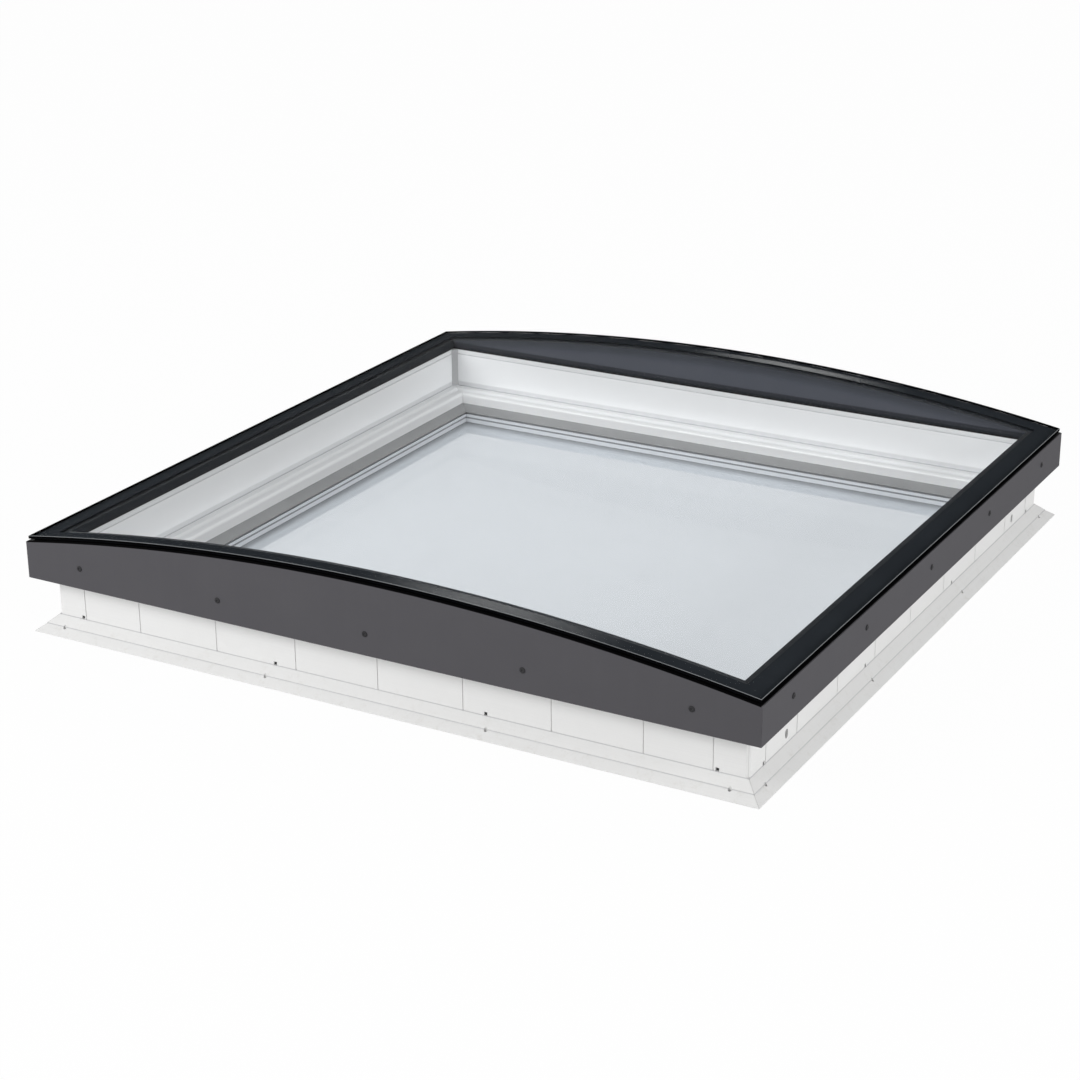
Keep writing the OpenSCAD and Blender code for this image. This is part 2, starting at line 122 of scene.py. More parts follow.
def ramp(tree, value, low, high, to_low=0.0, to_high=1.0):
    """A value eased from one range into another."""
    inputs = {"Value": value, "From Min": low, "From Max": high, "To Min": to_low, "To Max": to_high}
    return node(tree, "MapRange", inputs, interpolation_type="SMOOTHSTEP").outputs[0]


def mix(tree, factor, first, second):
    """Two colours mixed by a factor."""
    inputs = {0: factor, 6: first, 7: second}
    return node(tree, "Mix", inputs, data_type="RGBA").outputs[2]


def noise(tree, vector, scale, detail, **more):
    """The value of one Noise Texture."""
    return node(tree, "TexNoise", {"Vector": vector, "Scale": scale, "Detail": detail, **more}).outputs["Fac"]


def bumped(tree, height, distance, strength, **normal):
    """A normal bent by a height; distance is how deep the relief is."""
    inputs = {"Height": height, "Distance": distance, "Strength": strength, **normal}
    return node(tree, "Bump", inputs).outputs[0]


def object_place(tree):
    """Where a point lies in the object's own coordinates, in metres."""
    return node(tree, "TexCoord").outputs["Object"]


def rgb(color, times=1.0):
    """A colour as the sockets want it, made lighter or darker by a factor."""
    return (*[c * times for c in color], 1)


print("node helpers ready")

# %% Group helper
COLOR, VALUE, VECTOR = "NodeSocketColor", "NodeSocketFloat", "NodeSocketVector"


def new_group(name, inputs, outputs):
    """An empty node group; gives its tree, what comes in, and what goes out."""
    tree = bpy.data.node_groups.new(name, "ShaderNodeTree")
    for label, (kind, start) in inputs.items():
        tree.interface.new_socket(label, in_out="INPUT", socket_type=kind).default_value = start
    for label, kind in outputs.items():
        tree.interface.new_socket(label, in_out="OUTPUT", socket_type=kind)
    return tree, tree.nodes.new("NodeGroupInput").outputs, tree.nodes.new("NodeGroupOutput").inputs


def place(tree, group, **inputs):
    """A group node in a tree; underscores in the names stand for spaces."""
    made = tree.nodes.new("ShaderNodeGroup")
    made.node_tree = group
    for name, value in inputs.items():
        socket = made.inputs[name.replace("_", " ")]
        if isinstance(value, bpy.types.NodeSocket):
            tree.links.new(value, socket)
        else:
            socket.default_value = value
    return made.outputs


print("group helpers ready")

# %% [markdown]
# ## Coordinates that follow the frame
# Profiles are pressed through a die, so their marks run along each side and turn the corner at the mitre.
# Plain X and Y can't say that. The larger of |X| and |Y| is the distance out from the middle on all four
# sides at once, and their difference is the distance from the mitre. One group works these out for every
# material.

# %% Frame coordinates
frame_space, _, out = new_group(
    "frame space", {},
    {"Across": VALUE, "Along": VALUE, "Height": VALUE, "From Mitre": VALUE, "Section": VECTOR},
)
split = node(frame_space, "SeparateXYZ", {"Vector": object_place(frame_space)}).outputs
size_x, size_y = maths(frame_space, "ABSOLUTE", split["X"]), maths(frame_space, "ABSOLUTE", split["Y"])
across = maths(frame_space, "MAXIMUM", size_x, size_y)
from_mitre = maths(frame_space, "ABSOLUTE", maths(frame_space, "SUBTRACT", size_x, size_y))
on_side = maths(frame_space, "GREATER_THAN", size_x, size_y)
along = node(frame_space, "Mix", {0: on_side, 2: split["X"], 3: split["Y"]}).outputs[0]
section = node(frame_space, "CombineXYZ", {"X": across, "Y": along, "Z": split["Z"]}).outputs[0]
found = {"Across": across, "Along": along, "Height": split["Z"], "From Mitre": from_mitre, "Section": section}
for name, socket in found.items():
    frame_space.links.new(socket, out[name])
print("frame space gives", [s.name for s in out if s.name])

# %% [markdown]
# ## Die lines
# Extruded plastic and aluminium carry hair-fine lines from the die, all running lengthwise. A noise texture
# stretched a few hundred times along the side gives them; the same noise tints the colour a little and shifts
# the gloss, because a real line shows in all three.

# %% Die lines group
die_lines, inp, out = new_group(
    "die lines",
    {"Color": (COLOR, (0.8, 0.8, 0.8, 1)), "Line Color": (COLOR, (0.7, 0.7, 0.7, 1)), "Amount": (VALUE, 0.3),
     "Lines per Metre": (VALUE, 700.0), "Roughness": (VALUE, 0.4), "Gloss Shift": (VALUE, 0.1)},
    {"Color": COLOR, "Roughness": VALUE, "Height": VALUE},
)
section = place(die_lines, frame_space)["Section"]
LENGTHWISE = (1.0, 0.004, 1.0)  # the noise is drawn out 250 times along the side
stretch = node(die_lines, "VectorMath", {0: section, 1: LENGTHWISE}, operation="MULTIPLY").outputs[0]
lines = noise(die_lines, stretch, inp["Lines per Metre"], 3.0)
cloud = noise(die_lines, section, 6.0, 4.0)
shown = ramp(die_lines, maths(die_lines, "ADD", lines, cloud), 0.85, 1.25)
strength = maths(die_lines, "MULTIPLY", shown, inp["Amount"])
die_lines.links.new(mix(die_lines, strength, inp["Color"], inp["Line Color"]), out["Color"])
spread = maths(die_lines, "MULTIPLY", maths(die_lines, "SUBTRACT", cloud, 0.5), inp["Gloss Shift"])
die_lines.links.new(maths(die_lines, "ADD", inp["Roughness"], spread), out["Roughness"])
die_lines.links.new(lines, out["Height"])
print("die lines:", len(die_lines.nodes), "nodes")

# %% [markdown]
# ## Fine grain
# Powder coating dries to a faint orange peel, moulded plastic copies a spark-eroded tool, and rubber is
# finely matt. All three are a small even roughness of the surface, so one group serves them with its own
# scale. It gives a height for the bump and shifts colour and gloss a little from grain to grain.

# %% Grain group
grain, inp, out = new_group(
    "fine grain",
    {"Color": (COLOR, (0.1, 0.1, 0.1, 1)), "Fleck Color": (COLOR, (0.14, 0.14, 0.14, 1)), "Amount": (VALUE, 0.3),
     "Grains per Metre": (VALUE, 900.0), "Roughness": (VALUE, 0.5), "Gloss Shift": (VALUE, 0.12)},
    {"Color": COLOR, "Roughness": VALUE, "Height": VALUE},
)
spot = object_place(grain)
fine = noise(grain, spot, inp["Grains per Metre"], 2.0)
broad = noise(grain, spot, 9.0, 5.0, Roughness=0.6)
both = maths(grain, "ADD", maths(grain, "MULTIPLY", fine, 0.5), maths(grain, "MULTIPLY", broad, 0.5))
fleck = maths(grain, "MULTIPLY", ramp(grain, both, 0.42, 0.62), inp["Amount"])
grain.links.new(mix(grain, fleck, inp["Color"], inp["Fleck Color"]), out["Color"])
spread = maths(grain, "MULTIPLY", maths(grain, "SUBTRACT", broad, 0.5), inp["Gloss Shift"])
grain.links.new(maths(grain, "ADD", inp["Roughness"], spread), out["Roughness"])
grain.links.new(fine, out["Height"])
print("fine grain:", len(grain.nodes), "nodes")

# %% [markdown]
# ## Worn edges
# Handling rubs edges first. Blender can find edges by pointiness, which needs a dense mesh, or by its Bevel
# node, which works on any mesh: where the rounded normal turns away from the true one there is an edge. The
# group breaks that band up with noise so the wear comes and goes.

# %% Edge group
edges, inp, out = new_group(
    "worn edges",
    {"Width": (VALUE, 0.6 * MM), "Amount": (VALUE, 0.6)},
    {"Mask": VALUE, "Normal": VECTOR},
)
rounded = node(edges, "Bevel", {"Radius": inp["Width"]}, samples=4).outputs[0]
plain = node(edges, "NewGeometry").outputs["Normal"]
same = node(edges, "VectorMath", {0: rounded, 1: plain}, operation="DOT_PRODUCT").outputs["Value"]
TRUE_AGAIN, WELL_TURNED = 0.998, 0.90  # how alike the two normals are off the edge, and on it
band = ramp(edges, same, TRUE_AGAIN, WELL_TURNED)
patches = noise(edges, object_place(edges), 60.0, 6.0)
broken = maths(edges, "MULTIPLY", band, ramp(edges, patches, 0.35, 0.65))
edges.links.new(maths(edges, "MULTIPLY", broken, inp["Amount"]), out["Mask"])
edges.links.new(rounded, out["Normal"])
print("worn edges:", len(edges.nodes), "nodes")

# %% [markdown]
# ## Settled dust
# Even a new skylight has a breath of dust on what faces up. The upward part of the normal says where it can
# lie, and a soft noise where it did. It is always duller than what it lies on, so the group raises the
# roughness too.

# %% Dust group
dust, inp, out = new_group(
    "settled dust",
    {"Color": (COLOR, (0.5, 0.5, 0.5, 1)), "Roughness": (VALUE, 0.5),
     "Dust Color": (COLOR, (0.42, 0.41, 0.39, 1)), "Amount": (VALUE, 0.1)},
    {"Color": COLOR, "Roughness": VALUE},
)
facing = node(dust, "SeparateXYZ", {"Vector": node(dust, "NewGeometry").outputs["Normal"]}).outputs["Z"]
drift = noise(dust, object_place(dust), 14.0, 8.0, Roughness=0.7)
lying = maths(dust, "MULTIPLY", ramp(dust, facing, 0.3, 0.95), ramp(dust, drift, 0.35, 0.75))
share = maths(dust, "MULTIPLY", lying, inp["Amount"])
dust.links.new(mix(dust, share, inp["Color"], inp["Dust Color"]), out["Color"])
dust.links.new(maths(dust, "ADD", inp["Roughness"], maths(dust, "MULTIPLY", share, 0.5)), out["Roughness"])
print("settled dust:", len(dust.nodes), "nodes")

# %% [markdown]
# ## Seams and painted shade
# Where two parts meet, a dark hairline shows. The same kind of line paints shade as well: a soft painted shade
# in the corner above such a joint, and dark painted shade lines in creases and grooves. Such a line keeps to one
# height and one distance from the middle, so it needs no drawing: it is there where both are close to a given
# value.

# %% Seam and painted shade group
seams_and_shade, inp, out = new_group(
    "seam and painted shade line",
    {"Level": (VALUE, 0.0), "Reach": (VALUE, 0.5), "Half Width": (VALUE, 0.6 * MM), "Amount": (VALUE, 0.6)},
    {"Mask": VALUE},
)
space = place(seams_and_shade, frame_space)
off_level = maths(seams_and_shade, "ABSOLUTE", maths(seams_and_shade, "SUBTRACT", space["Height"], inp["Level"]))
off_reach = maths(seams_and_shade, "ABSOLUTE", maths(seams_and_shade, "SUBTRACT", space["Across"], inp["Reach"]))
core = maths(seams_and_shade, "DIVIDE", off_level, inp["Half Width"])
TOO_FAR, NEAR_ENOUGH = 1.6 * MM, 1.2 * MM  # how near the face must lie to the reach
line = maths(seams_and_shade, "MULTIPLY", ramp(seams_and_shade, core, 1.0, 0.5), ramp(seams_and_shade, off_reach, TOO_FAR, NEAR_ENOUGH))
seams_and_shade.links.new(maths(seams_and_shade, "MULTIPLY", line, inp["Amount"]), out["Mask"])
print("seam and painted shade line:", len(seams_and_shade.nodes), "nodes")

# %% [markdown]
# ## Lines that follow the arch
# Some lines keep to the arch instead of a level: the painted shade of the dark gap under the edge of the pane,
# black over the top of the apron, and the softer painted shade under the pane. The group tells how far a point
# lies below a circle that is laid over the frame from left to right. The aprons end on such a circle, so theirs
# is the one to measure from.

# %% Arch group
RISE = 47 * MM  # how far the middle of the pane stands above its ends
glass_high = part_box("glass_cover")[1]
GLASS_RADIUS = (glass_high.x ** 2 + RISE ** 2) / (2 * RISE)
arch, inp, out = new_group("under the arch", {"Crown": (VALUE, 0.18), "Radius": (VALUE, 3.46)}, {"Drop": VALUE})
split = node(arch, "SeparateXYZ", {"Vector": object_place(arch)}).outputs
squares = (maths(arch, "MULTIPLY", part, part) for part in (inp["Radius"], split["X"]))
lift = maths(arch, "SQRT", maths(arch, "SUBTRACT", *squares))
line = maths(arch, "ADD", maths(arch, "SUBTRACT", inp["Crown"], inp["Radius"]), lift)
arch.links.new(maths(arch, "SUBTRACT", line, split["Z"]), out["Drop"])
apron_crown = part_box("apron_front")[1].z
apron_arch = {"Crown": apron_crown, "Radius": GLASS_RADIUS - (glass_high.z - apron_crown)}
# painted shade: the black of the dark gap under the edge of the pane
GAP_SHADE_BLACK = (0.0012, 0.0012, 0.0014, 1)
GAP_SHADE_FROM = (555 * MM, 558 * MM)  # from here outward what lies under the pane's edge is painted black as shade
print("apron crown", round(apron_crown / MM, 1), "mm, radius", round(apron_arch["Radius"], 3), "m")

# %% [markdown]
# ## A new finish
# Each finish starts from Blender's own Principled shader. What is even all over, such as metalness, is set on
# the shader itself; only what changes over the surface is linked in.

# %% Start a material
def new_finish(name, **even):
    """A material with its Principled shader; underscores in the names stand for spaces."""
    made = bpy.data.materials.new(name)
    made.use_nodes = True
    shader = made.node_tree.nodes["Principled BSDF"]
    for socket, value in even.items():
        shader.inputs[socket.replace("_", " ")].default_value = value
    return made, made.node_tree, shader


def feed(tree, shader, **sockets):
    """Links outputs into the shader."""
    for name, socket in sockets.items():
        tree.links.new(socket, shader.inputs[name.replace("_", " ")])


finishes = {}
print("finishes so far:", len(finishes))

# %% [markdown]
# ## White frame plastic
# The base frame and the beads are white window-grade PVC: bright, half gloss, with die lines, and with welded
# mitres that leave a fine seam at each corner. Mud splashes a little grey onto the lowest centimetres. The
# seam comes from the distance to the mitre, the splash from the height. From the outer face of the wall to the
# inner one the colour passes from a greyer white to a brighter one: partly because indoors the white stays
# fresh, partly as painted light that lifts the inner faces.

# %% White plastic
# how far from the middle the wall's inner and outer face lie, and the step in the foot
INNER_FACE, OUTER_FACE, STRIP_FACE = 526.4 * MM, 542.7 * MM, 556.3 * MM
FRAME_SEAMS_AND_SHADE = (
    # height, distance from the middle, half width, strength
    (65.0 * MM, INNER_FACE, 0.9 * MM, 0.50),  # where the bead meets the wall
    (67.0 * MM, INNER_FACE, 8.0 * MM, 0.30),  # painted shade in that corner
    (123.0 * MM, INNER_FACE, 0.8 * MM, 0.45),  # painted shade in the fine groove under the rim
    (129.0 * MM, INNER_FACE, 6.0 * MM, 0.12),  # painted shade under the rim, below the cover's overhang
    (23.3 * MM, OUTER_FACE, 0.8 * MM, 0.45),  # painted shade in the crease of wall and foot
    (11.0 * MM, STRIP_FACE, 0.9 * MM, 0.45),  # painted shade in the step in the foot
)
# the inner faces' white: partly fresh plastic indoors, partly painted light that lifts them
INSIDE_LIFTED_WHITE = (0.90, 0.91, 0.92)
LINE_SHADE = 0.95  # how bright a die line is beside the white around it
# the first colour darkens joint hairlines and the painted shade lines and bands
SEAM_AND_PAINTED_SHADE, WELD_SHADE = (0.20, 0.21, 0.23, 1), (0.45, 0.45, 0.44, 1)
MUD, PALE_DUST, RUBBED_WHITE = (0.52, 0.50, 0.46, 1), (0.60, 0.59, 0.57, 1), (0.62, 0.62, 0.60, 1)
SPLASH_TOP = 45 * MM
WELD_EDGE, WELD_CORE = 0.9 * MM, 0.35 * MM  # distance from the mitre at which the weld ends and is full


def white_plastic(name, color, seam, splash, roughness, seam_and_shade_lines=()):
    """White extruded plastic with a weld seam and a splashed foot; its inner faces are painted lighter, and its
    seam lines also paint shade.
    """
    made, tree, shader = new_finish(name, Specular_IOR_Level=0.45)
    space = place(tree, frame_space)
    # painted light, partly weathering: from the outer face inward the white passes to a brighter one
    inner_lift = ramp(tree, space["Across"], OUTER_FACE - 2 * MM, INNER_FACE + 2 * MM)
    plain, lined = (mix(tree, inner_lift, rgb(color, dim), rgb(INSIDE_LIFTED_WHITE, dim)) for dim in (1.0, LINE_SHADE))
    skin = place(tree, die_lines, Color=plain, Line_Color=lined, Amount=0.4, Roughness=roughness)
    weld = ramp(tree, space["From Mitre"], WELD_EDGE, WELD_CORE)
    seamed_and_shaded = mix(tree, maths(tree, "MULTIPLY", weld, seam), skin["Color"], WELD_SHADE)
    # joint hairlines, and painted shade in corners, creases and grooves
    for level, reach, half, amount in seam_and_shade_lines:
        mask = place(tree, seams_and_shade, Level=level, Reach=reach, Half_Width=half, Amount=amount)["Mask"]
        seamed_and_shaded = mix(tree, mask, seamed_and_shaded, SEAM_AND_PAINTED_SHADE)
    speck = noise(tree, space["Section"], 90.0, 8.0, Roughness=0.7)
    low = ramp(tree, space["Height"], SPLASH_TOP, 0.0)
    mud = maths(tree, "MULTIPLY", maths(tree, "MULTIPLY", low, ramp(tree, speck, 0.5, 0.75)), splash)
    dirty = mix(tree, mud, seamed_and_shaded, MUD)
    dusted = place(tree, dust, Color=dirty, Roughness=skin["Roughness"], Amount=0.10, Dust_Color=PALE_DUST)
    worn = place(tree, edges, Width=0.7 * MM, Amount=0.25)
    handled = mix(tree, worn["Mask"], dusted["Color"], RUBBED_WHITE)
    height = maths(tree, "SUBTRACT", maths(tree, "MULTIPLY", skin["Height"], 0.25), weld)
    bump = bumped(tree, height, 0.03 * MM, 0.5, Normal=worn["Normal"])
    feed(tree, shader, Base_Color=handled, Roughness=dusted["Roughness"], Normal=bump)
    return made


finishes["frame_white"] = white_plastic("white frame plastic", (0.74, 0.74, 0.735), 0.5, 0.35, 0.34, FRAME_SEAMS_AND_SHADE)
finishes["bead_white"] = white_plastic("white bead plastic", (0.93, 0.935, 0.94), 0.4, 0.0, 0.38)
print("white plastics:", finishes["frame_white"].name, "and", finishes["bead_white"].name)

# %% [markdown]
# ## Coated metal
# The cover's apron and rails are aluminium with a dark powder coating, a warm charcoal on the apron and
# nearly black on the rails. Edges are rubbed a shade paler, and rain leaves faint upright streaks on the
# apron, so a noise is stretched along Z for them. Under the edge of the pane the metal is painted black, as
# painted shade of the dark gap there. That black reaches a little over the top of the front and back aprons and
# leaves the top of the side ones bare.

# %% Coated metal
GAP_SHADE_LAP, RAIL_GAP_SHADE, SIDE_GAP_SHADE = 1.1 * MM, 0.2 * MM, -0.4 * MM  # how far the painted black shade comes down: arched aprons, rails, side aprons
SIDE_FROM, SIDE_FADE = 568.6 * MM, 0.5 * MM  # where the side aprons begin
BLUR = 0.2 * MM  # half the width of the painted shade's edge
STREAK_SCALE = (40.0, 40.0, 1.5)
STREAK_PALER, EDGE_PALER = 1.6, 2.2


def coated_metal(name, color, paler, roughness, streaks, dusty, rubbed_edges=0.5, gap_shade=0.0):
    """Powder-coated aluminium with orange peel, rubbed edges and rain streaks.

    The last argument is how far painted black shade, for the dark gap under the pane, comes down over its top;
    without it there is none.
    """
    made, tree, shader = new_finish(name, Specular_IOR_Level=0.02)
    coat = place(tree, grain, Color=rgb(color), Fleck_Color=rgb(paler), Amount=0.35, Grains_per_Metre=1300.0,
                 Roughness=roughness)
    space = place(tree, frame_space)
    upright = node(tree, "VectorMath", {0: space["Section"], 1: STREAK_SCALE}, operation="MULTIPLY").outputs[0]
    streak = maths(tree, "MULTIPLY", ramp(tree, noise(tree, upright, 1.0, 5.0), 0.5, 0.72), streaks)
    streaked = mix(tree, streak, coat["Color"], rgb(paler, STREAK_PALER))
    dusted = place(tree, dust, Color=streaked, Roughness=coat["Roughness"], Amount=dusty)
    worn = place(tree, edges, Width=0.5 * MM, Amount=rubbed_edges)
    rubbed = mix(tree, worn["Mask"], dusted["Color"], rgb(paler, EDGE_PALER))
    # painted shade: under the pane's edge the top is painted black for the dark gap there
    if gap_shade:
        split = node(tree, "SeparateXYZ", {"Vector": object_place(tree)}).outputs
        off_middle = maths(tree, "ABSOLUTE", split["X"])
        shade_reach = ramp(tree, off_middle, SIDE_FROM, SIDE_FROM - SIDE_FADE, SIDE_GAP_SHADE, gap_shade)
        below = maths(tree, "SUBTRACT", place(tree, arch, **apron_arch)["Drop"], shade_reach)
        outer = ramp(tree, space["Across"], *GAP_SHADE_FROM)
        gap_shaded = maths(tree, "MULTIPLY", outer, ramp(tree, below, BLUR, -BLUR))
        rubbed = mix(tree, gap_shaded, rubbed, GAP_SHADE_BLACK)
    bump = bumped(tree, coat["Height"], 0.05 * MM, 0.5, Normal=worn["Normal"])
    feed(tree, shader, Base_Color=rubbed, Roughness=dusted["Roughness"], Normal=bump)
    return made


finishes["apron_grey"] = coated_metal(
    "charcoal apron coat", (0.082, 0.080, 0.087), (0.094, 0.092, 0.098),
    roughness=0.50, streaks=0.02, dusty=0.08, rubbed_edges=0.35, gap_shade=GAP_SHADE_LAP,
)
finishes["cover_dark"] = coated_metal(
    "dark rail coat", (0.026, 0.029, 0.033), (0.034, 0.037, 0.042),
    roughness=0.45, streaks=0.0, dusty=0.03, rubbed_edges=0.15, gap_shade=RAIL_GAP_SHADE,
)
print("coated metals:", finishes["apron_grey"].name, "and", finishes["cover_dark"].name)

# %% [markdown]
# ## Moulded and rubber parts
# The arch formers are moulded from dark plastic with a spark-eroded grain. Seals are rubber: dull, finely
# matt, greyer where talc still clings. The grain group gives all of them with other colours and scales. The
# formers also get painted shade under the pane above and at their foot over the wall below, and their tops
# are painted black as shade, as dark as the border.

# %% Grained parts
FOOT_FADE = 3.5 * MM
# how far below the aprons' circle the painted shade of the pane begins, and where it is full
SHADE_FROM, SHADE_TO = 22 * MM, 3 * MM
# painted shade at the foot of the formers and under the pane
FOOT_SHADE, PANE_SHADE = (0.012, 0.013, 0.015, 1), (0.020, 0.022, 0.025, 1)
# the formers' top under the pane's edge, painted dark as shade
FORMER_TOP_SHADE = (0.018, 0.021, 0.025, 1)


def grained(name, color, fleck, amount, scale, roughness, depth, dusty=0.05, foot=None, **even):
    """A dull part whose surface is one even grain; foot is the height up to which painted shade lies on it, and
    with it come painted shade under the pane and a top painted black.
    """
    made, tree, shader = new_finish(name, **even)
    skin = place(tree, grain, Color=rgb(color), Fleck_Color=rgb(fleck), Amount=amount, Grains_per_Metre=scale,
                 Roughness=roughness)
    dusted = place(tree, dust, Color=skin["Color"], Roughness=skin["Roughness"], Amount=dusty)
    shown = dusted["Color"]
    # painted shade: darker at the foot and under the pane, black on the top under the pane's edge
    if foot:
        space, drop = place(tree, frame_space), place(tree, arch, **apron_arch)["Drop"]
        shown = mix(tree, ramp(tree, space["Height"], foot, foot - FOOT_FADE, 0.0, 0.7), shown, FOOT_SHADE)
        shown = mix(tree, ramp(tree, drop, SHADE_FROM, SHADE_TO, 0.0, 0.45), shown, PANE_SHADE)
        top_shade = mix(tree, ramp(tree, space["Across"], *GAP_SHADE_FROM), FORMER_TOP_SHADE, GAP_SHADE_BLACK)
        shown = mix(tree, ramp(tree, drop, 2 * BLUR, 0.0), shown, top_shade)
    bump = bumped(tree, skin["Height"], depth, 0.6)
    feed(tree, shader, Base_Color=shown, Roughness=dusted["Roughness"], Normal=bump)
    return made


former_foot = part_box("arch_former_back")[0].z + 8 * MM
finishes["former_dark"] = grained(
    "moulded arch plastic", (0.088, 0.094, 0.113), (0.107, 0.113, 0.133), 0.4, 1500.0, 0.45, 0.05 * MM,
    foot=former_foot, Specular_IOR_Level=0.1,
)
RUBBER_DEPTH, PLASTIC_DEPTH = 0.06 * MM, 0.04 * MM
DULL = {"Specular_IOR_Level": 0.1}
GRAINED = (
    # slot, name, colour, fleck, its amount, grains per metre, roughness, depth, dust, more
    ("grey_seal", "mid grey seal rubber", (0.30, 0.306, 0.312), (0.38, 0.386, 0.392),
     0.5, 1100.0, 0.62, RUBBER_DEPTH, 0.05, {}),
    ("lower_seal", "pale seal rubber", (0.62, 0.63, 0.64), (0.68, 0.69, 0.70),
     0.5, 1100.0, 0.65, RUBBER_DEPTH, 0.05, {}),
    ("black_seal", "black seal rubber", (0.018, 0.018, 0.019), (0.035, 0.035, 0.036),
     0.4, 1000.0, 0.6, RUBBER_DEPTH, 0.05, DULL),
    ("bond", "black structural bond", (0.010, 0.010, 0.011), (0.020, 0.020, 0.021),
     0.4, 300.0, 0.5, 0.15 * MM, 0.0, DULL),
    ("edge_seal", "edge sealant", (0.30, 0.31, 0.32), (0.36, 0.37, 0.38),
     0.5, 220.0, 0.5, 0.2 * MM, 0.0, {}),
    ("block_blue", "hard blue block plastic", (0.03, 0.10, 0.24), (0.05, 0.14, 0.30),
     0.5, 800.0, 0.42, PLASTIC_DEPTH, 0.0, {}),
    ("strip_grey", "grey strip plastic", (0.44, 0.445, 0.455), (0.49, 0.495, 0.505),
     0.5, 700.0, 0.45, PLASTIC_DEPTH, 0.05, {}),
)
for slot, *values, even in GRAINED:
    finishes[slot] = grained(*values, **even)
print("grained parts so far:", len(finishes))

# %% [markdown]
# ## Foam
# The block of insulation in the profile is rigid foam. Cut foam shows its cells, which a Voronoi texture
# gives: painted shade at the cell walls' feet, light on the ribs, and the same pattern drives the bump.

# %% Foam
CELLS_PER_METRE = 420.0
# painted shade at the feet of the cell walls, and the lighter ribs
CELL_FOOT_SHADE, CELL_RIB = (0.62, 0.64, 0.58, 1), (0.80, 0.82, 0.76, 1)
made, tree, shader = new_finish("rigid foam")
inputs = {"Vector": object_place(tree), "Scale": CELLS_PER_METRE}
cells = node(tree, "TexVoronoi", inputs, feature="DISTANCE_TO_EDGE").outputs["Distance"]
pores = ramp(tree, cells, 0.0, 0.25)
feed(tree, shader, Base_Color=mix(tree, pores, CELL_FOOT_SHADE, CELL_RIB), Normal=bumped(tree, pores, 0.4 * MM, 0.7),
     Roughness=ramp(tree, cells, 0.0, 0.4, 0.95, 0.8))
finishes["foam_core"] = made
print("foam:", len(tree.nodes), "nodes")

# %% [markdown]
# ## Brushed and drawn metal
# Clips and screws are stainless, the corner keys plain extruded aluminium. Metal shows its working as fine
# parallel scratches, so the die-line group serves again with metalness on and a stronger shift in gloss.

# %% Bare metal
SCRATCH_SHADE = 0.75  # how bright a scratch is beside the metal around it


def bare_metal(name, color, lines, roughness):
    """Metal with fine lengthwise scratches."""
    made, tree, shader = new_finish(name, Metallic=1.0)
    skin = place(tree, die_lines, Color=rgb(color), Line_Color=rgb(color, SCRATCH_SHADE), Amount=0.6,
                 Lines_per_Metre=lines, Roughness=roughness, Gloss_Shift=0.25)
    bump = bumped(tree, skin["Height"], 0.03 * MM, 0.6)
    feed(tree, shader, Base_Color=skin["Color"], Roughness=skin["Roughness"], Normal=bump)
    return made


finishes["clip_steel"] = bare_metal("drawn stainless sheet", (0.56, 0.57, 0.58), 1600.0, 0.36)
finishes["screw_bright"] = bare_metal("bright stainless", (0.62, 0.63, 0.64), 2200.0, 0.28)
finishes["key_metal"] = bare_metal("mill aluminium", (0.70, 0.71, 0.72), 900.0, 0.40)
finishes["screw_dark"] = coated_metal(
    "dark screw coat", (0.035, 0.035, 0.037), (0.06, 0.06, 0.062), roughness=0.38, streaks=0.0, dusty=0.05,
)
print("metals:", [finishes[k].name for k in ("clip_steel", "screw_bright", "key_metal", "screw_dark")])

# %% [markdown]
# ## The spacer in the glass unit
# A warm-edge spacer is a light grey plastic bar that keeps the flat panes apart. It is filled with a drying
# powder, and air reaches that through a row of pin holes along the middle of the bar. They show as one dark
# line, which is partly the holes and partly painted shade. Height alone tells where the row is.

# %% Spacer
PIN_ROW, PIN_HALF = 28.0 * MM, 1.8 * MM  # height of the row, and half its own height
PIN_WAVES = 1500.0  # turns the way along a side into a wave of one pin in 4.2 mm
# the dark row: partly the pin holes, partly painted shade
PIN_ROW_AND_SHADE = (0.06, 0.062, 0.066, 1)
made, tree, shader = new_finish("warm-edge spacer")
space = place(tree, frame_space)
skin = place(tree, die_lines, Color=(0.78, 0.79, 0.81, 1), Line_Color=(0.70, 0.71, 0.73, 1), Amount=0.5,
             Lines_per_Metre=900.0, Roughness=0.5)
off_row = maths(tree, "ABSOLUTE", maths(tree, "SUBTRACT", space["Height"], PIN_ROW))
wave = maths(tree, "SINE", maths(tree, "MULTIPLY", space["Along"], PIN_WAVES))
pins = maths(tree, "ADD", maths(tree, "MULTIPLY", wave, 0.15), 0.7)
pins_and_shade = maths(tree, "MULTIPLY", ramp(tree, off_row, PIN_HALF, PIN_HALF * 0.6), pins)
feed(tree, shader, Base_Color=mix(tree, pins_and_shade, skin["Color"], PIN_ROW_AND_SHADE), Roughness=skin["Roughness"],
     Normal=bumped(tree, skin["Height"], 0.06 * MM, 0.5))
finishes["spacer"] = made
print("pins every", round(2 * math.pi / PIN_WAVES / MM, 1), "mm")

# %% [markdown]
# ## Fired black border
# Black enamel is printed under the pane and fired on, so it looks like polished black glass with a slightly
# uneven body. The colour stays nearly even; tiny pinholes and a lazy change of gloss keep it from looking
# painted. The band of light across the two arched runs is a place where the enamel came out glossier: there a
# clear coat comes in, which mirrors the pale surroundings at low views and hardly anything from above. The
# enamel's own edge, out at the pane's edge, is painted black as shade of the dark gap there.

